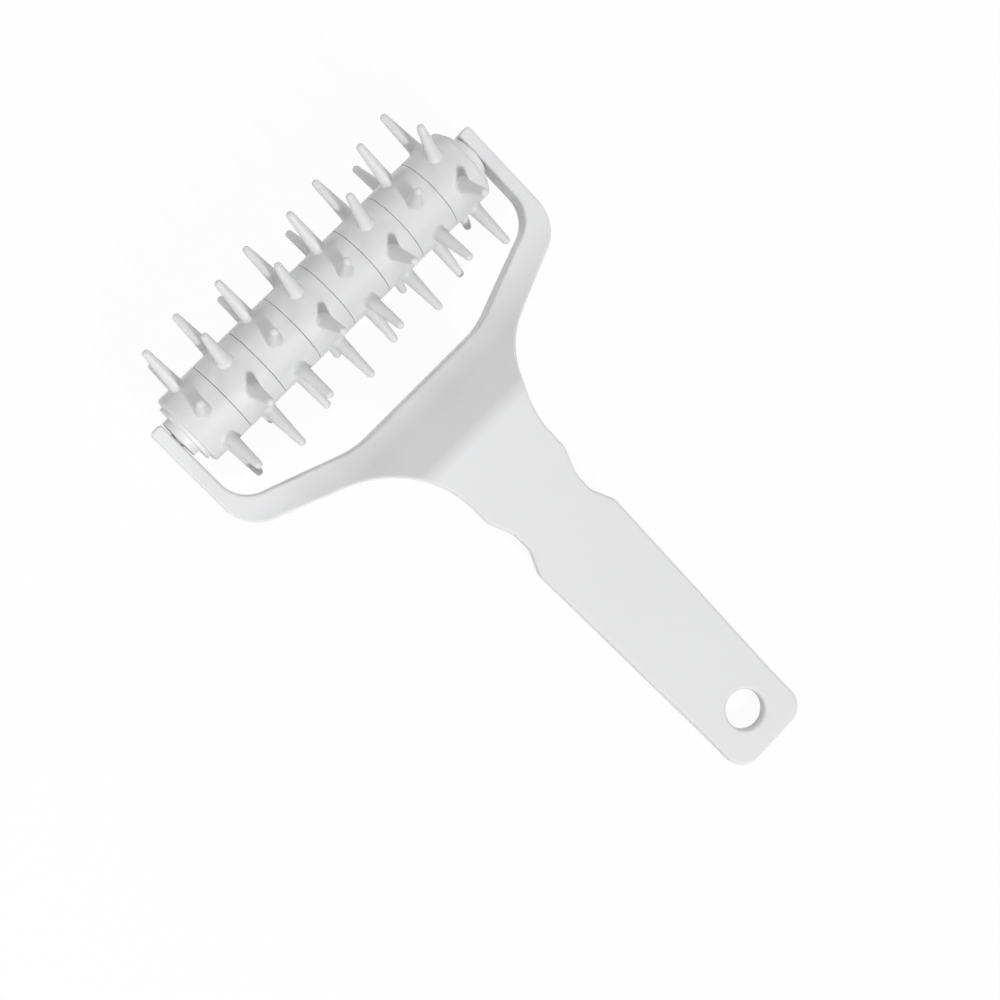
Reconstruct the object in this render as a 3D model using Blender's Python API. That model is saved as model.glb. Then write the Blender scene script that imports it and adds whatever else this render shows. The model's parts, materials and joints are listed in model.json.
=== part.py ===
"""A hand-held dough docker: eight spiked rings keyed to one spindle that turns in a forked handle.

Lengths are in metres and angles in radians. The tool is drawn level: the roller's axis lies along X
through the origin, the handle runs towards -Y and its flat face looks up. A "reach" is a distance
from the roller's axis towards the end of the handle. At the end the whole tool is laid down, so that
its spikes and the end of its handle touch the ground at Z = 0.
"""

import math

import bmesh
import bpy
import numpy as np
from mathutils import Matrix, Vector

# The forked handle, seen from above
frame_width = 0.1256
arm_thickness = 0.0041
arm_overhang = 0.0065  # how far each arm runs on past the roller's axis
arm_end_radius = 0.0011
inner_corner_reach = 0.0242  # where an arm's inner face would meet the slope beside the bridge
inner_corner_radius = 0.0105
outer_corner_reach = 0.0314
outer_corner_radius = 0.0125
bridge_reach = 0.03625
bridge_half_width = 0.025
bridge_end_radius = 0.028
neck_reach = 0.0493
neck_half_width = 0.0156
neck_radius = 0.0305
grip_half_width = 0.0151
notch_half_width = 0.0121
notch_start_reach = 0.0757
notch_floor_start_reach = 0.0833
notch_floor_end_reach = 0.0894
notch_end_reach = 0.0961
notch_start_radius = 0.003
notch_floor_start_radius = 0.009
notch_floor_end_radius = 0.0045
notch_end_radius = 0.004
tail_reach = 0.165
tail_half_width = 0.0134
tail_bend_radius = 0.08
handle_reach = 0.1782
handle_end_radius = 0.006
hang_hole_radius = 0.0058
hang_hole_inset = 0.01255  # from the end of the handle to the hole's centre

# The forked handle, seen from the side
arm_depth = 0.0093
handle_thickness = 0.0045
handle_lift = 0.0205  # from the roller's axis up to the middle of the handle's thickness
crest_reach = 0.0552  # where the ramp meets the handle's flat top
crest_radius = 0.007
ramp_angle = math.radians(43)
ramp_thickness = 0.005
scoop_radius = 0.0235
keel_radius = 0.014
heel_radius = 0.009
top_rim_radius = 0.0009
bottom_rim_radius = 0.0006

# The stub axle inside each arm
pin_radius = 0.0024
pin_length = 0.0085
pin_lead_radius = 0.0006

# The spiked rings
ring_count = 8
ring_gap = 0.00035
ring_radius = 0.0116
ring_edge_radius = 0.0003
end_ring_edge_radius = 0.001  # the outward edge of the first and the last ring
spikes_per_ring = 6
spike_reach = 0.0257  # from the roller's axis to a spike's tip
spike_root_radius = 0.0022
spike_tip_radius = 0.0011
spike_flare = 0.0024

# The spindle and its end caps
spindle_across_flats = 0.012
spindle_corner_radius = 0.0006
spindle_bore_radius = 0.00475
flange_radius = 0.0095
flange_thickness = 0.0009
boss_radius = 0.00625
boss_length = 0.00215
arm_clearance = 0.0005  # from each boss to the arm beside it
cap_edge_radius = 0.0003
spigot_length = 0.0085
running_clearance = 0.00035

# How the tool lies
roller_turn = math.radians(9)  # the spindle's turn against the handle
spike_stagger = math.radians(15)  # from a corner of the spindle to the nearest row of spikes

# How finely the shapes are drawn
chord_height = 0.00005  # the most that an arc's straight steps may cut off
rim_steps = 2
tip_turns = (math.radians(20), math.radians(60))  # where a spike's rounded tip has its edges
ring_segments = 32
cap_segments = 30
bore_segments = 24
spike_segments = 10
smooth_angle = math.radians(34)
cutter_overrun = 0.002
merge_distance = 0.000001

# Sizes that follow from those above
arm_inner_face = frame_width / 2 - arm_thickness
flange_face = arm_inner_face - arm_clearance - boss_length - flange_thickness
stack_half_length = flange_face - ring_gap
ring_pitch = (2 * stack_half_length + ring_gap) / ring_count
ring_width = ring_pitch - ring_gap
bore_across_flats = spindle_across_flats + 2 * running_clearance
cap_bore_radius = pin_radius + running_clearance
spigot_radius = spindle_bore_radius - running_clearance
handle_top = handle_lift + handle_thickness / 2


def material(name, colour, roughness):
    """A plain opaque plastic."""
    made = bpy.data.materials.new(name)
    made.use_nodes = True
    shader = made.node_tree.nodes["Principled BSDF"]
    shader.inputs["Base Color"].default_value = (*colour, 1.0)
    shader.inputs["Roughness"].default_value = roughness
    shader.inputs["Metallic"].default_value = 0.0
    made.diffuse_color = (*colour, 1.0)
    return made


def tangent_arc(before, corner, after, radius):
    """The points of the arc that rounds one corner of a polyline."""
    before, corner, after = Vector(before), Vector(corner), Vector(after)
    back = (before - corner).normalized()
    onward = (after - corner).normalized()
    turn = math.pi - back.angle(onward)
    if radius == 0 or turn == 0:
        return [corner]
    run = radius * math.tan(turn / 2)
    centre = corner + (back + onward).normalized() * (radius / math.cos(turn / 2))
    start = corner + back * run - centre
    side = 1 if back.cross(start) > 0 else -1
    step = 2 * math.acos(max(0, 1 - chord_height / radius))
    steps = max(2, math.ceil(turn / step))
    turns = [Matrix.Rotation(side * turn * i / steps, 2) for i in range(steps + 1)]
    return [centre + one @ start for one in turns]


def rounded_loop(corners):
    """A closed outline through (x, y, corner radius) corners."""
    points = []
    for i, (x, y, radius) in enumerate(corners):
        before = corners[i - 1][:2]
        after = corners[(i + 1) % len(corners)][:2]
        points += tangent_arc(before, (x, y), after, radius)
    return points


def rounded_line(corners):
    """An open line through (x, y, corner radius) corners, whose two ends stay sharp."""
    points = [Vector(corners[0][:2])]
    for before, here, after in zip(corners, corners[1:], corners[2:]):
        points += tangent_arc(before[:2], here[:2], after[:2], here[2])
    return points + [Vector(corners[-1][:2])]


def mesh_object(name, bm):
    """Turns a bmesh into an object, with its faces looking outwards."""
    bmesh.ops.remove_doubles(bm, verts=bm.verts, dist=merge_distance)
    bmesh.ops.recalc_face_normals(bm, faces=bm.faces)
    if bm.calc_volume(signed=True) < 0:
        bmesh.ops.reverse_faces(bm, faces=bm.faces)
    mesh = bpy.data.meshes.new(name)
    bm.to_mesh(mesh)
    bm.free()
    made = bpy.data.objects.new(name, mesh)
    bpy.context.scene.collection.objects.link(made)
    return made


def join_loops(bm, loops, closed=False):
    """Skins a row of vertex loops of equal length, and caps the two ends unless the row is closed."""
    pairs = list(zip(loops, loops[1:]))
    if closed:
        pairs.append((loops[-1], loops[0]))
    for low, high in pairs:
        for i in range(len(low)):
            j = (i + 1) % len(low)
            bm.faces.new((low[i], low[j], high[j], high[i]))
    if not closed:
        bm.faces.new(reversed(loops[0]))
        bm.faces.new(loops[-1])


def lathe(name, profile, segments, closed=False):
    """Turns a profile of (radius, height) points about Z. A closed profile makes a ring."""
    bm = bmesh.new()
    loops = []
    for radius, height in profile:
        angles = [math.tau * i / segments for i in range(segments)]
        points = [(radius * math.cos(a), radius * math.sin(a), height) for a in angles]
        loops.append([bm.verts.new(point) for point in points])
    join_loops(bm, loops, closed)
    return mesh_object(name, bm)


def prism(name, outline, bottom, top):
    """A straight block over an outline of (x, y) points."""
    bm = bmesh.new()
    loops = [[bm.verts.new((x, y, z)) for x, y in outline] for z in (bottom, top)]
    join_loops(bm, loops)
    return mesh_object(name, bm)


def combine(target, others, operation):
    """Adds or cuts other objects into the target, and then removes them."""
    for other in others:
        modifier = target.modifiers.new(other.name, "BOOLEAN")
        modifier.operation = operation
        modifier.solver = "EXACT"
        modifier.object = other
    graph = bpy.context.evaluated_depsgraph_get()
    shaped = bpy.data.meshes.new_from_object(target.evaluated_get(graph))
    target.modifiers.clear()
    target.data = shaped
    for other in others:
        bpy.data.objects.remove(other, do_unlink=True)


def turned(made, matrix):
    """Moves an object's mesh, and leaves the object itself where it is."""
    made.data.transform(matrix)
    return made


def finish(made, surface):
    """Gives an object its material and smooth shading between its sharp edges."""
    made.data.materials.clear()
    made.data.materials.append(surface)
    made.data.shade_smooth()
    made.data.set_sharp_from_angle(angle=smooth_angle)
    return made


def plan_outline():
    """The forked handle from above, as one closed loop with its arms open towards +Y."""
    right = [
        (bridge_half_width, bridge_reach, bridge_end_radius),
        (arm_inner_face, inner_corner_reach, inner_corner_radius),
        (arm_inner_face, -arm_overhang, arm_end_radius),
        (frame_width / 2, -arm_overhang, arm_end_radius),
        (frame_width / 2, outer_corner_reach, outer_corner_radius),
        (neck_half_width, neck_reach, neck_radius),
        (grip_half_width, notch_start_reach, notch_start_radius),
        (notch_half_width, notch_floor_start_reach, notch_floor_start_radius),
        (notch_half_width, notch_floor_end_reach, notch_floor_end_radius),
        (grip_half_width, notch_end_reach, notch_end_radius),
        (tail_half_width, tail_reach, tail_bend_radius),
        (tail_half_width, handle_reach, handle_end_radius),
    ]
    left = [(-x, reach, radius) for x, reach, radius in reversed(right)]
    return [(x, -reach) for x, reach in rounded_loop(right + left)]


def side_profiles():
    """The handle's top and underside from the side, each as rounded (reach, height) points."""
    arm_top = arm_depth / 2
    slope = math.tan(ramp_angle)
    ramp_start = crest_reach - (handle_top - arm_top) / slope
    top = rounded_line([
        (-arm_overhang, arm_top, 0),
        (ramp_start, arm_top, scoop_radius),
        (crest_reach, handle_top, crest_radius),
        (handle_reach, handle_top, 0),
    ])
    arm_bottom = arm_top - arm_depth
    handle_bottom = handle_top - handle_thickness
    ramp_drop = ramp_thickness / math.cos(ramp_angle)
    under_start = ramp_start + (arm_bottom - arm_top + ramp_drop) / slope
    under_end = crest_reach + (handle_bottom - handle_top + ramp_drop) / slope
    underside = rounded_line([
        (-arm_overhang, arm_bottom, 0),
        (under_start, arm_bottom, keel_radius),
        (under_end, handle_bottom, heel_radius),
        (handle_reach, handle_bottom, 0),
    ])
    return top, underside


def rim_loops(outline):
    """(height, outline) pairs of a slab as deep as the arms, with both of its rims rounded."""
    count = len(outline)
    outward = []
    for i, point in enumerate(outline):
        before = Vector(point) - Vector(outline[i - 1])
        after = Vector(outline[(i + 1) % count]) - Vector(point)
        lean = before.normalized() + after.normalized()
        half_turn = before.angle(after) / 2
        outward.append(Vector((lean.y, -lean.x)).normalized() / math.cos(half_turn))
    pairs = []
    for radius, bottom in ((bottom_rim_radius, True), (top_rim_radius, False)):
        turns = [math.pi / 2 * i / rim_steps for i in range(rim_steps + 1)]
        for turn in turns if bottom else reversed(turns):
            inset = radius * (1 - math.sin(turn))
            height = radius * (1 - math.cos(turn))
            shrunk = [Vector(p) - n * inset for p, n in zip(outline, outward)]
            pairs.append((height if bottom else arm_depth - height, shrunk))
    return pairs


def frame_slab():
    """The plan outline as a slab, sliced across and carried up along the side profiles.

    Between two slices every face is only sheared, so it stays flat, and each rim keeps its rounding
    while the slab turns from the deep arms through the scooped bridge into the thin handle.
    """
    outline = [Vector(point) for point in plan_outline()]
    area = sum(a.cross(b) for a, b in zip(outline, outline[1:] + outline[:1]))
    if area < 0:
        outline.reverse()
    bm = bmesh.new()
    loops = []
    for height, points in rim_loops(outline):
        loops.append([bm.verts.new((x, y, height)) for x, y in points])
    join_loops(bm, loops)
    top, underside = side_profiles()
    inside = [p.x for p in top + underside if -arm_overhang < p.x < handle_reach]
    for reach in sorted(set(inside)):
        whole = list(bm.verts) + list(bm.edges) + list(bm.faces)
        bmesh.ops.bisect_plane(bm, geom=whole, plane_co=(0, -reach, 0), plane_no=(0, 1, 0))
    for vert in bm.verts:
        line, datum = (top, arm_depth) if vert.co.z > arm_depth / 2 else (underside, 0)
        reaches = [p.x for p in line]
        heights = [p.y for p in line]
        vert.co.z += float(np.interp(-vert.co.y, reaches, heights)) - datum
    return mesh_object("forked_handle", bm)


def stub_axle(side):
    """The pin moulded inside one arm, on which the roller turns."""
    root = arm_thickness / 2
    profile = rounded_line([
        (0, -root, 0),
        (pin_radius, -root, 0),
        (pin_radius, pin_length, pin_lead_radius),
        (0, pin_length, 0),
    ])
    pin = lathe("stub_axle", profile[1:-1], bore_segments)
    inward = Matrix.Rotation(-side * math.pi / 2, 4, "Y")
    return turned(pin, Matrix.Translation((side * arm_inner_face, 0, 0)) @ inward)


def hang_hole_cutter():
    """A spool whose flared ends round the hole's two rims."""
    profile = []
    low = handle_top - handle_thickness
    for rim, out, face in ((bottom_rim_radius, -1, low), (top_rim_radius, 1, handle_top)):
        turns = [math.pi / 2 * i / rim_steps for i in range(rim_steps + 1)]
        arc = [(rim * (1 - math.cos(t)), face - out * rim * (1 - math.sin(t))) for t in turns]
        arc.append((rim, face + out * cutter_overrun))
        arc = [(hang_hole_radius + flare, height) for flare, height in arc]
        profile += reversed(arc) if out < 0 else arc
    cutter = lathe("hang_hole", profile, bore_segments)
    return turned(cutter, Matrix.Translation((0, hang_hole_inset - handle_reach, 0)))


def forked_handle():
    """Handle, bridge, both arms and their stub axles, which are one moulding."""
    made = frame_slab()
    combine(made, [stub_axle(-1), stub_axle(1)], "UNION")
    combine(made, [hang_hole_cutter()], "DIFFERENCE")
    return finish(made, material("handle_plastic", (0.79, 0.80, 0.82), 0.42))


def hexagon(across_flats, corner_radius):
    """A hexagon's outline with rounded corners, one of them on +Y."""
    corner = across_flats / 2 / math.cos(math.pi / 6)
    angles = [math.pi / 3 * i for i in range(6)]
    return rounded_loop([
        (corner * math.sin(-a), corner * math.cos(a), corner_radius) for a in angles
    ])


def along_axis(made):
    """Lays an object that was drawn along Z down along X, with its +Y side turned up to +Z."""
    return turned(made, Matrix(((0, 0, 1, 0), (1, 0, 0, 0), (0, 1, 0, 0), (0, 0, 0, 1))))


def spindle(surface):
    """The hexagonal tube that all the rings are keyed to."""
    outline = hexagon(spindle_across_flats, spindle_corner_radius)
    made = prism("spindle", outline, -stack_half_length, stack_half_length)
    end = stack_half_length + cutter_overrun
    bore = [(spindle_bore_radius, -end), (spindle_bore_radius, end)]
    combine(made, [lathe("spindle_bore", bore, bore_segments)], "DIFFERENCE")
    return finish(along_axis(made), surface)


def end_cap(name, surface):
    """A stepped cap: flange against the last ring, boss towards the arm, spigot in the spindle.

    It is drawn with its flange's inner face at Z = 0 and its boss upwards.
    """
    boss_top = flange_thickness + boss_length
    sharp = rounded_loop([
        (cap_bore_radius, -spigot_length, 0),
        (spigot_radius, -spigot_length, cap_edge_radius),
        (spigot_radius, 0, 0),
        (flange_radius, 0, 0),
        (flange_radius, flange_thickness, cap_edge_radius),
        (boss_radius, flange_thickness, 0),
        (boss_radius, boss_top, cap_edge_radius),
        (cap_bore_radius, boss_top, cap_edge_radius),
    ])
    return finish(along_axis(lathe(name, sharp, cap_segments, closed=True)), surface)


def spike():
    """One spike along Z, from inside its ring out to its rounded tip, with a flared root."""
    foot = spike_root_radius + spike_flare
    base = math.sqrt(ring_radius**2 - foot**2)
    tip_centre = spike_reach - spike_tip_radius
    profile = [Vector((foot, base - cutter_overrun))]
    profile += tangent_arc(
        (foot, base), (spike_root_radius, base), (spike_tip_radius, tip_centre), spike_flare
    )
    for turn in tip_turns:
        out = spike_tip_radius * math.cos(turn)
        profile.append(Vector((out, tip_centre + spike_tip_radius * math.sin(turn))))
    profile.append(Vector((0, spike_reach)))
    return lathe("spike", profile, spike_segments)


def ring_mesh(surface, edge_radius):
    """The mesh of a ring with its hexagonal bore and its spikes.

    The edge radius is that of the rim on its +X side. Its other rim has the plain one.
    """
    half = ring_width / 2
    body = rounded_line([
        (0, -half, 0),
        (ring_radius, -half, ring_edge_radius),
        (ring_radius, half, edge_radius),
        (0, half, 0),
    ])
    made = along_axis(lathe("spiked_ring", body[1:-1], ring_segments))
    spikes = []
    for i in range(spikes_per_ring):
        angle = spike_stagger + math.tau * i / spikes_per_ring
        spikes.append(turned(spike(), Matrix.Rotation(angle, 4, "X")))
    combine(made, spikes, "UNION")
    outline = hexagon(bore_across_flats, spindle_corner_radius)
    end = half + cutter_overrun
    combine(made, [along_axis(prism("ring_bore", outline, -end, end))], "DIFFERENCE")
    finish(made, surface)
    mesh = made.data
    bpy.data.objects.remove(made, do_unlink=True)
    return mesh


def empty(name, parent=None):
    made = bpy.data.objects.new(name, None)
    made.empty_display_size = ring_radius
    made.parent = parent
    bpy.context.scene.collection.objects.link(made)
    return made


def roller(tool):
    """Everything that turns, parented to one empty on the roller's axis."""
    axis = empty("roller_axis", tool)
    axis.rotation_euler.x = roller_turn
    cap_plastic = material("cap_plastic", (0.80, 0.80, 0.81), 0.40)
    pieces = [spindle(material("spindle_plastic", (0.78, 0.78, 0.79), 0.45))]
    for side, name in ((-1, "end_cap_left"), (1, "end_cap_right")):
        cap = end_cap(name, cap_plastic)
        cap.location.x = side * flange_face
        cap.rotation_euler.z = math.pi if side < 0 else 0
        pieces.append(cap)
    ring_plastic = material("ring_plastic", (0.81, 0.81, 0.82), 0.38)
    inner_ring = ring_mesh(ring_plastic, ring_edge_radius)
    end_ring = ring_mesh(ring_plastic, end_ring_edge_radius)
    for i in range(ring_count):
        mesh = end_ring if i in (0, ring_count - 1) else inner_ring
        ring = bpy.data.objects.new(f"spiked_ring_{i + 1}", mesh)
        bpy.context.scene.collection.objects.link(ring)
        ring.location.x = (i - (ring_count - 1) / 2) * ring_pitch
        # Every second ring is turned end for end, which sets its spikes between its neighbours'
        # and turns the rounder rim of both end rings outwards.
        ring.rotation_euler.z = math.pi if i % 2 == 0 else 0
        pieces.append(ring)
    for piece in pieces:
        piece.parent = axis
    return axis


def lowest_tip(tilt):
    """How far below the roller's axis the lowest spike ends, with the tool tilted."""
    rows = []
    for stagger in (-spike_stagger, spike_stagger):
        for i in range(spikes_per_ring):
            rows.append(math.cos(tilt + roller_turn + stagger + math.tau * i / spikes_per_ring))
    return (spike_reach - spike_tip_radius) * max(rows) + spike_tip_radius


def resting_tilt():
    """The tilt that brings the end of the handle down to the ground under the spikes."""
    reach = handle_reach - bottom_rim_radius
    rise = handle_top - handle_thickness + bottom_rim_radius
    tilt = 0.0
    for _ in range(12):
        drop = lowest_tip(tilt) - bottom_rim_radius
        tilt = math.atan2(rise, reach) + math.asin(drop / math.hypot(reach, rise))
    return tilt


def lay_down(tool):
    """Tilts the tool, then centres it over the origin and stands it on the ground."""
    tool.rotation_euler.x = resting_tilt()
    bpy.context.view_layer.update()
    corners = []
    for made in bpy.context.scene.objects:
        if made.type == "MESH":
            corners += [made.matrix_world @ vert.co for vert in made.data.vertices]
    low = np.min(corners, axis=0)
    high = np.max(corners, axis=0)
    tool.location = (-(low[0] + high[0]) / 2, -(low[1] + high[1]) / 2, -low[2])


def main():
    for old in list(bpy.data.objects):
        bpy.data.objects.remove(old, do_unlink=True)
    tool = empty("docker")
    forked_handle().parent = tool
    axis = roller(tool)
    lay_down(tool)
    bpy.context.view_layer.update()
    print("roller axis at", [round(value, 6) for value in axis.matrix_world.translation])
    print("resting tilt in degrees", round(math.degrees(tool.rotation_euler.x), 4))


main()
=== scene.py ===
# %% [markdown]
# # A dough docker in white plastic
#
# A dough docker is rolled over pizza or pastry dough to prick it all over, so that it bakes flat.
# This one is all plastic: a flat handle that opens into a fork, and between the arms of the fork
# a roller of eight spiked rings. The solids of a finished part give every place and size. This
# lesson dresses them: it models finer shapes over them, mixes the plastics, and sets up light and
# camera.
#
# The first cell loads the solids and remembers the box that they fill, because nothing that is
# made here is meant to reach outside it.

import json
import math

import bmesh
import bpy
import numpy as np
from mathutils import Matrix, Vector


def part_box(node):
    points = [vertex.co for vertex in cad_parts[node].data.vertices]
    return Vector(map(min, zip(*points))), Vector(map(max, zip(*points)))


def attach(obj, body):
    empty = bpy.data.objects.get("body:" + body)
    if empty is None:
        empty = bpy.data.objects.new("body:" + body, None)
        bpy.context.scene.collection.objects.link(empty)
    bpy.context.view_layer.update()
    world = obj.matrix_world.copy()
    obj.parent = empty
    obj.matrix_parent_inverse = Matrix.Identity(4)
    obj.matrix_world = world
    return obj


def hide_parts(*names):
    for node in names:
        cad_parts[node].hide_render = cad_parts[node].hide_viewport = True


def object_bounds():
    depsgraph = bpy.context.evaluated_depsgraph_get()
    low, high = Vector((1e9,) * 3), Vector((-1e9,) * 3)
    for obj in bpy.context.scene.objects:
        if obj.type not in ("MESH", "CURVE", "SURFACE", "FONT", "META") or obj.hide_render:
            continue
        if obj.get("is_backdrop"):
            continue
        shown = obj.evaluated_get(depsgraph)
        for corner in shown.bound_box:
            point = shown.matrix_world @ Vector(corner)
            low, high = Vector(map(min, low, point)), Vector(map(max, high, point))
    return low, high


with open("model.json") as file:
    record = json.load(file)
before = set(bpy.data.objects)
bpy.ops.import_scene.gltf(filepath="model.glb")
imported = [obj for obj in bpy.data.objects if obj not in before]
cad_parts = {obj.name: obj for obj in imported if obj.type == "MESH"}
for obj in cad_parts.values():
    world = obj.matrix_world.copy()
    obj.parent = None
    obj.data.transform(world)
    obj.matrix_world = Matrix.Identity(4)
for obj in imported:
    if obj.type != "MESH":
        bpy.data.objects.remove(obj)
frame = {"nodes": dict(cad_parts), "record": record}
solid_box = [list(corner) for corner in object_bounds()]
print("nodes:", ", ".join(sorted(frame["nodes"])))
print("box of the solids in mm:", [[round(1000 * value, 1) for value in c] for c in solid_box])

# %% [markdown]
# ## Where the tool lies
#
# The tool rests on its spikes and on the end of its handle, so it lies at a slant. Every piece is
# easier to draw level, with the roller's axis along X through the origin and the handle running
# off towards -Y. One matrix then lays each finished piece down. Its two numbers are measured from
# the solids: the axis is the middle of the spindle, and the slant is that of the handle's face.

# %% Measure the slant and the roller's axis
mm = 0.001
spindle_low, spindle_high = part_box("spindle")
axis_point = (spindle_low + spindle_high) / 2
face = next(mount for mount in frame["record"]["mounts"] if mount["name"] == "handle_face")
slant = math.atan2(-face["axis"][1], face["axis"][2])
lay_down = Matrix.Translation(axis_point) @ Matrix.Rotation(slant, 4, "X")
print(f"slant {math.degrees(slant):.2f} degrees, axis at", [round(v, 5) for v in axis_point])

# %% [markdown]
# ## Drawing with a pen
#
# Almost every piece here starts as a line with rounded corners: the fork's outline, the section of
# a ring, the side of a spike. The pen draws such a line the way a draughtsman does. A straight run
# is the last point extruded to a new place, and a bend is that point spun about the middle of the
# corner's arc. Bevelling sharp corners would be quicker, but Blender's vertex bevel gives a true
# arc only at right angles, and these corners are mostly flatter than that.

# %% The pen
merge_distance = 0.0005 * mm
fewest_steps = 3  # in the arc of a corner


def corner_arc(before, corner, after, radius):
    """Where a corner's arc starts, its centre, and how far it turns, plus for anticlockwise."""
    back = (before - corner).normalized()
    onward = (after - corner).normalized()
    turn = math.pi - back.angle(onward)
    start = corner + back * (radius * math.tan(turn / 2))
    centre = corner + (back + onward).normalized() * (radius / math.cos(turn / 2))
    side = 1 if back.cross(onward) < 0 else -1
    return start, centre, side * turn


def run_to(bm, pen, place):
    """Draws one straight run from the pen's point and gives the new point."""
    made = bmesh.ops.extrude_vert_indiv(bm, verts=[pen])["verts"][0]
    bmesh.ops.translate(bm, verts=[made], vec=place.to_3d() - made.co)
    return made


def draw(bm, corners, closed, finest):
    """Draws a line through (x, y, corner radius) corners, in steps no longer than finest."""
    places = [Vector(corner[:2]) for corner in corners]
    count = len(corners)
    rounded = range(count) if closed else range(1, count - 1)
    pen = first = None if closed else bm.verts.new(places[0].to_3d())
    for i in rounded:
        before, here, after = places[i - 1], places[i], places[(i + 1) % count]
        radius = corners[i][2]
        start, centre, turn = (here, here, 0) if radius == 0 else corner_arc(
            before, here, after, radius)
        if pen is None:
            pen = first = bm.verts.new(start.to_3d())
        else:
            pen = run_to(bm, pen, start)
        if turn:
            steps = max(fewest_steps, math.ceil(abs(turn) * radius / finest))
            bent = bmesh.ops.spin(
                bm, geom=[pen], cent=centre.to_3d(), axis=(0, 0, 1), angle=turn, steps=steps)
            pen = next(v for v in bent["geom_last"] if isinstance(v, bmesh.types.BMVert))
    run_to(bm, pen, first.co.xy if closed else places[-1])
    bmesh.ops.remove_doubles(bm, verts=bm.verts, dist=merge_distance)


test = bmesh.new()
draw(test, [(0, 0, 0), (10 * mm, 0, 2 * mm), (10 * mm, 5 * mm, 0)],
     closed=False, finest=0.2 * mm)
print(f"a test line has {len(test.verts)} points and {len(test.edges)} edges")
test.free()

# %% [markdown]
# ## From a line to a turned piece
#
# Spikes, hubs and the bodies of the rings are all round, as from a lathe. A Screw modifier would
# turn them too, but a spin inside the bmesh leaves nothing to apply. So their section is drawn on
# one side of the Y axis and spun once round it, and the first and last copies are merged.

# %% The lathe
def tidy(bm):
    """Merges doubles and makes every face look outwards."""
    bmesh.ops.remove_doubles(bm, verts=bm.verts, dist=merge_distance)
    bmesh.ops.dissolve_degenerate(bm, edges=bm.edges, dist=merge_distance)
    bmesh.ops.recalc_face_normals(bm, faces=bm.faces)


def as_object(bm, name):
    """Turns a bmesh into a mesh object at the origin."""
    tidy(bm)
    mesh = bpy.data.meshes.new(name)
    bm.to_mesh(mesh)
    bm.free()
    made = bpy.data.objects.new(name, mesh)
    bpy.context.scene.collection.objects.link(made)
    return made


def turned(name, section, closed, finest, steps):
    """Spins a section of (radius, height, corner radius) corners once about the Y axis."""
    bm = bmesh.new()
    draw(bm, section, closed, finest)
    line = list(bm.verts) + list(bm.edges)
    bmesh.ops.spin(bm, geom=line, cent=(0, 0, 0), axis=(0, 1, 0), angle=math.tau, steps=steps,
                   use_merge=True)
    return as_object(bm, name)


print("points closer than", merge_distance / mm, "mm become one")

# %% [markdown]
# ## The bench
#
# Two more helpers work on whole pieces. One adds bodies to another, or cuts them out of it, with
# the exact Boolean and keeps the result. The other finishes a piece: it shades it smooth but keeps
# its sharp edges, and weights the normals by area, so that a flat face stays flat up to the
# rounding of its edge. Without the weighting, broad faces would look swollen near their rims.

# %% The bench
sharp_from = 35  # degrees between two faces


def shape_with(made, tools, operation):
    """Adds tools to a body, or cuts them out of it, and clears them away."""
    for tool in tools:
        step = made.modifiers.new(tool.name, "BOOLEAN")
        step.operation, step.solver, step.object = operation, "EXACT", tool
    graph = bpy.context.evaluated_depsgraph_get()
    shaped = bpy.data.meshes.new_from_object(made.evaluated_get(graph))
    made.modifiers.clear()
    made.data = shaped
    for tool in tools:
        bpy.data.objects.remove(tool)


def finish_piece(made, surface):
    """Gives a piece its plastic and its shading."""
    made.data.materials.clear()
    made.data.materials.append(surface)
    made.data.shade_smooth()
    made.data.set_sharp_from_angle(angle=math.radians(sharp_from))
    weighted = made.modifiers.new("flat faces stay flat", "WEIGHTED_NORMAL")
    weighted.keep_sharp = True
    print(f"{made.name}: {len(made.data.polygons)} faces")


print("edges stay sharp from", sharp_from, "degrees")

# %% [markdown]
# ## A way to write shader maths
#
# A plastic's look is a small sum: so much gloss, plus a little unevenness. Wiring Math nodes by
# hand hides that, so one small class wraps a socket and lets it stand in an ordinary Python sum.
# Every other node comes from its `node` method: the type, the settings, then the sockets.

# %% A socket that can stand in a sum
class Wire:
    """One output of a node. A plus, minus or times sign between wires adds a Math node."""

    def __init__(self, tree, socket=None):
        self.tree, self.socket = tree, socket

    def node(self, kind, settings, sockets, output=0):
        """Adds any node, and gives its output as a wire."""
        made = self.tree.nodes.new(kind)
        for name, value in settings.items():
            setattr(made, name, value)
        for name, value in sockets.items():
            if isinstance(value, Wire):
                self.tree.links.new(value.socket, made.inputs[name])
            else:
                made.inputs[name].default_value = value
        return Wire(self.tree, made.outputs[output])

    def maths(self, operation, left, right):
        return self.node("ShaderNodeMath", {"operation": operation}, {0: left, 1: right})

    def __add__(self, other):
        return self.maths("ADD", self, other)

    def __radd__(self, other):
        return self.maths("ADD", other, self)

    def __sub__(self, other):
        return self.maths("SUBTRACT", self, other)

    def __rsub__(self, other):
        return self.maths("SUBTRACT", other, self)

    def __mul__(self, other):
        return self.maths("MULTIPLY", self, other)

    def __rmul__(self, other):
        return self.maths("MULTIPLY", other, self)


print("a wire can be used with", "+ - *")

# %% [markdown]
# ## The plastics
#
# The real tool is moulded in white polypropylene or ABS. Such a moulding isn't one flat colour.
# Its tone drifts a little over the length of a piece where the melt ran, the mould's fine
# spark-eroded grain breaks up the shine, and handling polishes it unevenly. So every plastic here
# mixes two close whites by a slow noise, adds a fine noise to the bump for the grain, and lets
# the grain and the handled patches move the roughness. The noises read Object coordinates, which
# a Mapping node shifts to the roller's axis and turns level with the tool, so that the pattern
# runs along its pieces.

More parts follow.
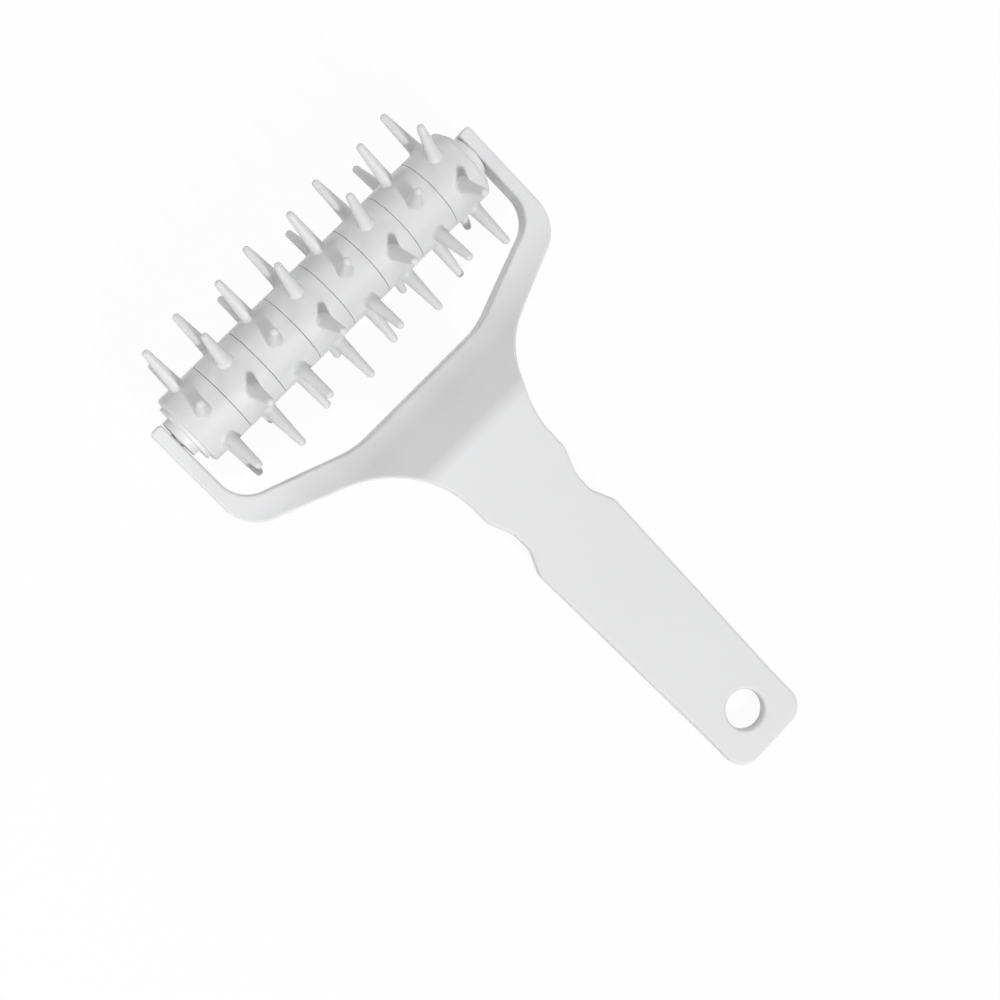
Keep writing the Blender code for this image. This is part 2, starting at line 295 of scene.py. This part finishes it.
# %% White moulded plastic
drift_size = 34 * mm    # how far apart the lighter and darker drifts lie
scuff_size = 5 * mm     # patches that handling has polished
grain_size = 0.42 * mm  # the mould's grain
drift_share = 0.75      # of the change in tint, and the scuffs have the rest
scuff_relief = 0.4      # against 1 for the grain
relief_strength = 0.35
scuff_gloss, grain_gloss = 0.08, 0.04  # how far each moves the roughness
plastic_ior = 1.49
glow_depth = 0.8 * mm   # how deep light goes before it comes out again
glow_reach = (1.0, 0.95, 0.9)  # of that depth, for red, green and blue


def moulded_plastic(name, colour, shade, roughness, grain_height, glow):
    """White plastic between a colour and its slightly deeper shade."""
    made = bpy.data.materials.new(name)
    made.use_nodes = True
    tree = made.node_tree
    wire = Wire(tree)
    place = wire.node("ShaderNodeTexCoord", {}, {}, "Object")
    level = wire.node("ShaderNodeMapping", {"vector_type": "TEXTURE"}, {
        "Vector": place, "Location": axis_point, "Rotation": (slant, 0, 0)})

    def noise(size, detail):
        return wire.node("ShaderNodeTexNoise", {}, {
            "Vector": level, "Scale": 1 / size, "Detail": detail, "Roughness": 0.5})

    drift = noise(drift_size, 2.0)
    scuffs = noise(scuff_size, 3.0)
    grain = noise(grain_size, 1.0)
    tint = wire.node("ShaderNodeMix", {"data_type": "RGBA"}, {
        "Factor": drift * drift_share + scuffs * (1 - drift_share),
        6: (*colour, 1), 7: (*shade, 1)}, 2)
    relief = wire.node("ShaderNodeBump", {}, {
        "Height": grain + scuffs * scuff_relief, "Strength": relief_strength,
        "Distance": grain_height})
    shader = tree.nodes["Principled BSDF"]
    tree.links.new(tint.socket, shader.inputs["Base Color"])
    middle = (scuff_gloss + grain_gloss) / 2
    uneven = roughness - middle + scuff_gloss * scuffs + grain_gloss * grain
    tree.links.new(uneven.socket, shader.inputs["Roughness"])
    tree.links.new(relief.socket, shader.inputs["Normal"])
    shader.inputs["IOR"].default_value = plastic_ior
    shader.inputs["Subsurface Weight"].default_value = glow
    shader.inputs["Subsurface Radius"].default_value = glow_reach
    shader.inputs["Subsurface Scale"].default_value = glow_depth
    print(f"{name}: {len(tree.nodes)} nodes")
    return made


fork_plastic = moulded_plastic(
    "white_fork_plastic", colour=(0.745, 0.747, 0.754), shade=(0.700, 0.702, 0.710),
    roughness=0.46, grain_height=0.03 * mm, glow=0.12)
ring_plastic = moulded_plastic(
    "white_ring_plastic", colour=(0.692, 0.693, 0.696), shade=(0.646, 0.648, 0.652),
    roughness=0.50, grain_height=0.02 * mm, glow=0.15)
hub_plastic = moulded_plastic(
    "white_hub_plastic", colour=(0.730, 0.731, 0.735), shade=(0.680, 0.682, 0.687),
    roughness=0.44, grain_height=0.02 * mm, glow=0.12)
spindle_plastic = moulded_plastic(
    "white_spindle_plastic", colour=(0.71, 0.71, 0.72), shade=(0.66, 0.66, 0.67),
    roughness=0.50, grain_height=0.03 * mm, glow=0.10)

# %% [markdown]
# ## The spindle
#
# The spindle is a plain hexagonal tube inside the rings, and only slivers of it could ever show
# between them. Its solid already has the right shape, so it just gets its plastic.

# %% Dress the spindle's solid
spindle = frame["nodes"]["spindle"]
spindle.data.materials.clear()
spindle.data.materials.append(spindle_plastic)
print("spindle is", round((spindle_high.x - spindle_low.x) / mm, 1), "mm long")

# %% [markdown]
# ## One spiked ring
#
# A ring is a short barrel with rounded edges, six blunt spikes and a six-sided bore. Each spike
# widens at its foot, as a moulded one must so that it doesn't snap off, and ends in a small dome.
# The spikes could be pulled out of the barrel's own faces, but then the barrel's grid would decide
# where they stand. Turning one spike and adding it six times keeps both shapes clean.
#
# The solids keep a play of a third of a millimetre between two rings, so that they can't touch. On
# the real roller they are pushed tight together and only a hairline shows, so the rings drawn here
# are a touch wider and leave a fine seam with soft edges.

# %% Sizes of a ring
ring_count = 8
ring_gap = 0.35 * mm  # between two solids
seam = 0.10 * mm      # between two rings as they are drawn here
ring_radius = 11.6 * mm
ring_edge = 0.28 * mm
end_ring_edge = 1.0 * mm  # the outward edge of the first and the last ring
spikes_per_ring = 6
spike_reach = 25.66 * mm  # a hair inside the solids' tips
spike_root = 2.2 * mm
spike_tip = 1.1 * mm
spike_flare = 2.4 * mm
foot_bend = 0.98 * spike_flare  # a full one would leave no straight run beside it
tip_bend = 0.98 * spike_tip
tip_corner = spike_tip + 0.001 * (spike_root - spike_tip)  # where the side would meet the end
spike_stagger = math.radians(15)
bore_across_flats = 12.7 * mm
bore_bend = 0.35 * mm  # the rounding of its six corners
stack_low, stack_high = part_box("spindle")[0].x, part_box("spindle")[1].x
ring_pitch = (stack_high - stack_low + ring_gap) / ring_count
ring_width = ring_pitch - seam
cut_beyond = 2 * mm
print(f"each ring is {ring_width / mm:.2f} mm wide")

# %% [markdown]
# ## A spike
#
# The spike's section starts inside the barrel, steps in over the foot's curve, runs up the side
# and over the dome to the axis. It goes a little way into the barrel, because two bodies that only
# touch don't join cleanly.

# %% Turn a spike
spike_steps = 32


def spike():
    """One spike along +Y, with a flared foot and a domed tip."""
    foot = spike_root + spike_flare
    base = math.sqrt(ring_radius**2 - foot**2)
    return turned("spike", [
        (0, base - cut_beyond, 0),
        (foot, base - cut_beyond, 0),
        (foot, base, 0),
        (spike_root, base, foot_bend),
        (tip_corner, spike_reach, tip_bend),
        (0, spike_reach, 0),
    ], closed=False, finest=0.12 * mm, steps=spike_steps)


trial = spike()
print("spike is", round(trial.dimensions.y / mm, 2), "mm long with its foot")
bpy.data.objects.remove(trial)

# %% [markdown]
# ## The barrel, its spikes and its bore
#
# The barrel is turned about the same axis as the spikes are and then laid along X. Six spikes are
# added in one go, and a rounded hexagon is cut through it last, so that no spike reaches into the
# bore. Nearly all rings are alike, so only two meshes are made, and the others are copies of them.

# %% Put a ring together
barrel_steps = 96
along_x = Matrix(((0, 1, 0, 0), (0, 0, 1, 0), (1, 0, 0, 0), (0, 0, 0, 1)))  # from +Y to +X
upright = Matrix.Rotation(math.pi / 2, 4, "X")  # from +Y to +Z


def one_ring(edge):
    """The mesh of one ring along X. The given edge radius is that of its +X side."""
    half = ring_width / 2
    barrel = turned("barrel", [
        (0, -half, 0), (ring_radius, -half, ring_edge), (ring_radius, half, edge),
        (0, half, 0)], closed=False, finest=0.06 * mm, steps=barrel_steps)
    barrel.data.transform(along_x)
    spikes = []
    for i in range(spikes_per_ring):
        made = spike()
        around = Matrix.Rotation(spike_stagger + math.tau * i / spikes_per_ring, 4, "X")
        made.data.transform(around @ upright)
        spikes.append(made)
    shape_with(barrel, spikes, "UNION")
    bm = bmesh.new()
    corner = bore_across_flats / 2 / math.cos(math.pi / 6)
    bmesh.ops.create_circle(bm, cap_ends=True, segments=6, radius=corner)
    bmesh.ops.bevel(bm, geom=list(bm.verts), offset=bore_bend, affect="VERTICES", segments=4,
                    profile=0.5, material=-1)
    bmesh.ops.rotate(bm, verts=bm.verts, matrix=Matrix.Rotation(math.pi / 2, 3, "Y"))
    bmesh.ops.translate(bm, verts=bm.verts, vec=(-half - cut_beyond, 0, 0))
    sides = bmesh.ops.extrude_face_region(bm, geom=list(bm.faces))["geom"]
    far = [item for item in sides if isinstance(item, bmesh.types.BMVert)]
    bmesh.ops.translate(bm, verts=far, vec=(2 * (half + cut_beyond), 0, 0))
    shape_with(barrel, [as_object(bm, "bore")], "DIFFERENCE")
    mesh = barrel.data
    bpy.data.objects.remove(barrel)
    return mesh


inner_ring = one_ring(ring_edge)
end_ring = one_ring(end_ring_edge)
print("a ring has", len(inner_ring.polygons), "faces")

# %% [markdown]
# ## Eight rings in a row
#
# Every second ring is pushed onto the spindle the other way round, which sets its spikes between
# those of its neighbours. The first and the last ring are a little rounder on the side that looks
# outwards. The whole row is turned a little against the fork, as the roller happens to stand.

# %% Set the rings on the spindle
roller_turn = math.radians(9)
on_roller = lay_down @ Matrix.Rotation(roller_turn, 4, "X")


def set_on_roller(made, along, flipped):
    """Moves a mesh to its place on the roller."""
    flip = Matrix.Rotation(math.pi if flipped else 0, 4, "Z")
    made.data.transform(on_roller @ Matrix.Translation((along, 0, 0)) @ flip)


for i in range(ring_count):
    shape = end_ring if i in (0, ring_count - 1) else inner_ring
    ring = bpy.data.objects.new(f"ring_{i + 1}", shape.copy())
    bpy.context.scene.collection.objects.link(ring)
    set_on_roller(ring, (i - (ring_count - 1) / 2) * ring_pitch, i % 2 == 0)
    finish_piece(ring, ring_plastic)
    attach(ring, "roller")
    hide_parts(f"spiked_ring_{i + 1}")

# %% [markdown]
# ## The two hubs
#
# A stepped hub closes each end of the roller: a flange against the last ring, a smaller boss
# towards the arm, and inside a spigot that plugs the spindle. It is round all over, so its whole
# section is drawn once and turned.

# %% Turn the hubs
hub_steps = 96
flange_radius, flange_thickness = 9.5 * mm, 0.9 * mm
boss_radius, boss_length = 6.25 * mm, 2.15 * mm
hub_gap = ring_gap - seam  # how much of the play beside the last ring the flange takes up
spigot_radius, spigot_length = 4.4 * mm, 8.5 * mm
axle_hole = 2.75 * mm
hub_edge = 0.3 * mm
boss_top = flange_thickness + boss_length
for side, name in ((-1, "left"), (1, "right")):
    hub = turned(f"hub_{name}", [
        (axle_hole, -spigot_length, 0),
        (spigot_radius, -spigot_length, hub_edge),
        (spigot_radius, -hub_gap, 0),
        (flange_radius, -hub_gap, 0),
        (flange_radius, flange_thickness, hub_edge),
        (boss_radius, flange_thickness, hub_edge),
        (boss_radius, boss_top, hub_edge),
        (axle_hole, boss_top, hub_edge),
    ], closed=True, finest=0.1 * mm, steps=hub_steps)
    hub.data.transform(along_x)
    set_on_roller(hub, side * (stack_high + ring_gap), side < 0)
    finish_piece(hub, hub_plastic)
    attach(hub, "roller")
    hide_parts(f"end_cap_{name}")

# %% [markdown]
# ## The fork from above
#
# Handle, bridge and arms are one moulding, and its outline from above carries most of the tool's
# character: two straight arms, sloping shoulders, a waisted neck, a notch for the fingers in each
# edge, and a tail that narrows to a rounded end. The pen draws one half from corner to corner and
# the other half mirrored. A reach is a distance from the roller's axis towards the handle's end.

# %% Draw the outline
fork_width = 125.6 * mm
arm_thickness = 4.1 * mm
arm_face = fork_width / 2 - arm_thickness
arm_overhang = 6.5 * mm
handle_reach = 178.17 * mm  # a hair inside the solid's end
right_half = [
    (25 * mm, 36.25 * mm, 28 * mm),          # the straight bridge turns outwards
    (arm_face, 24.2 * mm, 10.5 * mm),        # and runs into the arm
    (arm_face, -arm_overhang, 1.1 * mm),     # the arm's blunt end
    (fork_width / 2, -arm_overhang, 1.1 * mm),
    (fork_width / 2, 31.4 * mm, 12.5 * mm),  # the shoulder
    (15.6 * mm, 49.3 * mm, 30.5 * mm),       # the waist of the neck
    (15.1 * mm, 75.7 * mm, 3 * mm),          # the finger notch: into it
    (12.1 * mm, 83.3 * mm, 9 * mm),          # along its floor
    (12.1 * mm, 89.4 * mm, 4.5 * mm),
    (15.1 * mm, 96.1 * mm, 4 * mm),          # and out again
    (13.4 * mm, 165 * mm, 80 * mm),          # the tail
    (13.4 * mm, handle_reach, 6 * mm),       # its rounded end
]
left_half = [(-x, reach, radius) for x, reach, radius in reversed(right_half)]
outline = [(x, -reach, radius) for x, reach, radius in right_half + left_half]
slab = bmesh.new()
draw(slab, outline, closed=True, finest=0.6 * mm)
bmesh.ops.contextual_create(slab, geom=list(slab.edges))
print("the outline has", len(slab.verts), "points and", len(slab.faces), "face")

# %% [markdown]
# ## The fork as a slab
#
# The outline is extruded to the depth of the arms, and both rims get the rounding that takes the
# sharpness off a moulding: more on top, where the hand rests, than below. The slab is then sliced
# across wherever the fork is going to bend.

# %% Extrude, round and slice
arm_depth = 9.3 * mm
top_rim, bottom_rim = 0.9 * mm, 0.6 * mm
bend_start, bend_end, slice_step = 15 * mm, 63 * mm, 0.5 * mm
raised = bmesh.ops.extrude_face_region(slab, geom=list(slab.faces))["geom"]
lid = [item for item in raised if isinstance(item, bmesh.types.BMVert)]
bmesh.ops.translate(slab, verts=lid, vec=(0, 0, arm_depth))
for rounding, height in ((bottom_rim, 0), (top_rim, arm_depth)):
    rim = [e for e in slab.edges if all(abs(v.co.z - height) < merge_distance for v in e.verts)]
    bmesh.ops.bevel(slab, geom=rim, offset=rounding, offset_type="OFFSET", affect="EDGES",
                    segments=5, profile=0.5, material=-1, clamp_overlap=False)
for reach in np.arange(bend_start, bend_end, slice_step):
    whole = list(slab.verts) + list(slab.edges) + list(slab.faces)
    bmesh.ops.bisect_plane(slab, geom=whole, plane_co=(0, -reach, 0), plane_no=(0, 1, 0))
print("the sliced slab has", len(slab.faces), "faces")

# %% [markdown]
# ## The fork from the side
#
# Seen from the side the moulding is S-shaped: level arms, a scooped bridge, a steep ramp up to a
# crest, and the flat handle. Each point of the slab is carried straight up by as much as the top
# or the underside rises there. Bending the slab along a curve instead would tilt the rims and
# shorten the tool. The two side lines are drawn with the same pen, and read off like a graph.

# %% Carry the slices up
handle_thickness = 4.5 * mm
handle_lift = 20.5 * mm
crest_reach = 55.2 * mm
ramp = math.radians(43)
ramp_thickness = 5 * mm
arm_top, handle_top = arm_depth / 2, handle_lift + handle_thickness / 2
arm_bottom, handle_bottom = arm_top - arm_depth, handle_top - handle_thickness
ramp_start = crest_reach - (handle_top - arm_top) / math.tan(ramp)
ramp_drop = ramp_thickness / math.cos(ramp)
keel_start = ramp_start + (arm_bottom - arm_top + ramp_drop) / math.tan(ramp)
heel_end = crest_reach + (handle_bottom - handle_top + ramp_drop) / math.tan(ramp)


def side_line(corners):
    """Draws a side line and gives its reaches and heights in order."""
    bm = bmesh.new()
    draw(bm, corners, closed=False, finest=0.05 * mm)
    points = sorted((v.co.x, v.co.y) for v in bm.verts)
    bm.free()
    return np.array(points).T


top_line = side_line([
    (-arm_overhang, arm_top, 0), (ramp_start, arm_top, 23.5 * mm),
    (crest_reach, handle_top, 7 * mm), (handle_reach, handle_top, 0)])
underside_line = side_line([
    (-arm_overhang, arm_bottom, 0), (keel_start, arm_bottom, 14 * mm),
    (heel_end, handle_bottom, 9 * mm), (handle_reach, handle_bottom, 0)])
for vert in slab.verts:
    upper = vert.co.z > arm_depth / 2
    reaches, heights = top_line if upper else underside_line
    vert.co.z += np.interp(-vert.co.y, reaches, heights) - (arm_depth if upper else 0)
fork = as_object(slab, "fork")
print("the fork is", round(fork.dimensions.z / mm, 2), "mm high from arms to crest")

# %% [markdown]
# ## Axle pins and hang hole
#
# The roller turns on a short pin inside each arm, moulded in one with it, so the pins are added to
# the fork. The hole near the end is cut with a spool: its waist is the hole, and its flared ends
# round the two rims, which no plain cylinder would do.

# %% Add the pins and cut the hole
pin_radius, pin_length, pin_lead = 2.4 * mm, 8.5 * mm, 0.6 * mm
pin_steps, hole_steps = 64, 96
pins = []
for side in (-1, 1):
    pin = turned("pin", [
        (0, -arm_thickness / 2, 0), (pin_radius, -arm_thickness / 2, 0),
        (pin_radius, pin_length, pin_lead), (0, pin_length, 0)],
        closed=False, finest=0.1 * mm, steps=pin_steps)
    inward = Matrix.Rotation(math.pi if side > 0 else 0, 4, "Z") @ along_x
    pin.data.transform(Matrix.Translation((side * arm_face, 0, 0)) @ inward)
    pins.append(pin)
shape_with(fork, pins, "UNION")

hole_radius, hole_inset = 5.8 * mm, 12.55 * mm
rim_bend = 0.999  # of a rim, which leaves the pen a hair of straight run
spool = turned("spool", [
    (0, handle_bottom - cut_beyond, 0),
    (hole_radius + bottom_rim, handle_bottom - cut_beyond, 0),
    (hole_radius + bottom_rim, handle_bottom, 0),
    (hole_radius, handle_bottom, bottom_rim * rim_bend),
    (hole_radius, handle_top, top_rim * rim_bend),
    (hole_radius + top_rim, handle_top, 0),
    (hole_radius + top_rim, handle_top + cut_beyond, 0),
    (0, handle_top + cut_beyond, 0),
], closed=False, finest=0.12 * mm, steps=hole_steps)
spool.data.transform(Matrix.Translation((0, hole_inset - handle_reach, 0)) @ upright)
shape_with(fork, [spool], "DIFFERENCE")
print("the hole is", round(2 * hole_radius / mm, 1), "mm across")

# %% Lay the fork down
fork.data.transform(lay_down)
finish_piece(fork, fork_plastic)
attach(fork, "handle")
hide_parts("forked_handle")

# %% [markdown]
# ## The table
#
# The tool lies on a plain white table. A white that is only lit would come out grey in places, so
# for the camera, and for what the camera sees in a gloss, the table is mostly a plain white of its
# own. The rest of it is ordinary matt white, which takes the tool's soft shadow and throws light
# back up at its underside.

# %% Lay out the white floor
def seen_directly(wire):
    """1 for what the camera or a gloss sees, 0 for light that only bounces about."""
    camera = wire.node("ShaderNodeLightPath", {}, {}, "Is Camera Ray")
    glossy = wire.node("ShaderNodeLightPath", {}, {}, "Is Glossy Ray")
    return camera.maths("MAXIMUM", camera, glossy)


floor_size = 6.0   # metres
floor_matt = 0.85  # how white its paint is
own_white = 0.95   # how much of the floor's look is plain white for the camera
bm = bmesh.new()
bmesh.ops.create_grid(bm, x_segments=8, y_segments=8, size=floor_size / 2)
floor = as_object(bm, "floor")
floor_paint = bpy.data.materials.new("matt_white_floor")
floor_paint.use_nodes = True
wire = Wire(floor_paint.node_tree)
matt = wire.node("ShaderNodeBsdfDiffuse", {}, {"Color": (floor_matt, floor_matt, floor_matt, 1)})
plain = wire.node("ShaderNodeEmission", {}, {"Color": (1, 1, 1, 1), "Strength": 1.0})
both = wire.node("ShaderNodeMixShader", {}, {
    0: seen_directly(wire) * own_white, 1: matt, 2: plain})
output = floor_paint.node_tree.nodes["Material Output"]
floor_paint.node_tree.links.new(both.socket, output.inputs["Surface"])
floor.data.materials.append(floor_paint)
floor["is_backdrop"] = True
print("the floor is", floor_size, "m wide")

# %% [markdown]
# ## The surroundings
#
# The world is white wherever the camera or a gloss looks past the floor, so that no horizon
# stands out. As a light it is kept low, because light from all sides at once would flatten the
# white plastic.

# %% The soft light all round
sky_level = 0.11
world = bpy.data.worlds.new("soft_room")
world.use_nodes = True
bpy.context.scene.world = world
wire = Wire(world.node_tree)
seen = seen_directly(wire)
strength = seen + (1 - seen) * sky_level
background = world.node_tree.nodes["Background"]
world.node_tree.links.new(strength.socket, background.inputs["Strength"])
background.inputs["Color"].default_value = (1, 1, 1, 1)
print("the room lights at", sky_level)

# %% [markdown]
# ## A ring of soft lamps
#
# White plastic on a white table shows its shape only through where the light comes from. The
# shadows of the spikes fall away from the handle, so the main light stands behind the handle's
# end, a little to the left and almost forty degrees up. Weaker, wider lamps stand low all round
# the tool and fill the shadows from the sides, as the walls of a light tent do. A brighter sky
# would fill them as well, but from above, and would wash out the seams and the feet of the
# spikes. The power of a lamp is worked out from the level that it should add to a surface that
# faces it.

# %% Set up the lamps
def soft_lamp(name, heading, height, distance, width, level):
    """A round lamp. Heading and height are in degrees, the heading from the handle leftwards."""
    data = bpy.data.lights.new(name, "AREA")
    data.shape = "DISK"
    data.size = width
    data.energy = level * math.pi**2 * distance**2
    lamp = bpy.data.objects.new(name, data)
    bpy.context.scene.collection.objects.link(lamp)
    across, up = math.radians(heading), math.radians(height)
    towards = Vector((-math.sin(across) * math.cos(up), -math.cos(across) * math.cos(up),
                      math.sin(up)))
    lamp.location = towards * distance
    lamp.rotation_euler = towards.to_track_quat("Z", "Y").to_euler()
    print(f"{name}: {data.energy:.2f} W")


for lamp in (
        # name, heading, height, distance, width, level
        ("main", 10.5, 38.0, 6.0, 0.44, 0.67),
        ("above", 0, 85, 1.2, 0.50, 0.22),
        ("left", 97, 23, 0.6, 0.25, 0.22),
        ("right", 256, 17, 1.2, 0.40, 0.14),
        ("behind_left", 162, 26, 1.2, 0.40, 0.15),
        ("behind_right", 212, 30, 1.2, 0.40, 0.13)):
    soft_lamp(*lamp)

# %% [markdown]
# ## The camera
#
# The tool is seen almost from straight above, with its roller at the upper left. The place,
# the turn and the lens come from fitting a pinhole camera to the tool's own outline, seams and
# spikes. They are given for the level tool, so the camera is laid down with it.

# %% Place the camera
camera_place = Vector((-73.93, -0.58, 496.07)) * mm
camera_right = Vector((0.69467, -0.69046, 0.20175))
camera_up = Vector((0.70646, 0.70768, -0.01058))
camera_back = Vector((-0.13547, 0.14987, 0.97938))
camera_data = bpy.data.cameras.new("camera")
camera_data.sensor_fit = "HORIZONTAL"
camera_data.sensor_width = 36
camera_data.lens = 63.14
camera_data.clip_start, camera_data.clip_end = 0.01, 20
camera = bpy.data.objects.new("camera", camera_data)
bpy.context.scene.collection.objects.link(camera)
axes = Matrix((camera_right, camera_up, camera_back)).transposed()
camera.matrix_world = lay_down @ Matrix.Translation(camera_place) @ axes.to_4x4()
bpy.context.scene.camera = camera
bpy.context.scene.view_settings.view_transform = "Standard"
print("the camera is", round(camera_place.length / mm), "mm away")

# %% [markdown]
# ## Compare the size and finish
#
# The dressed tool is meant to fill the same box as its solids. Its box is measured as theirs
# was, and the last line prints by how much the two differ.

# %% Compare both boxes and finish
dressed_box = [list(corner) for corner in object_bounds()]
differences = np.subtract(dressed_box, solid_box) / mm
print("dressed minus solid box in mm:", np.round(differences, 3).tolist())
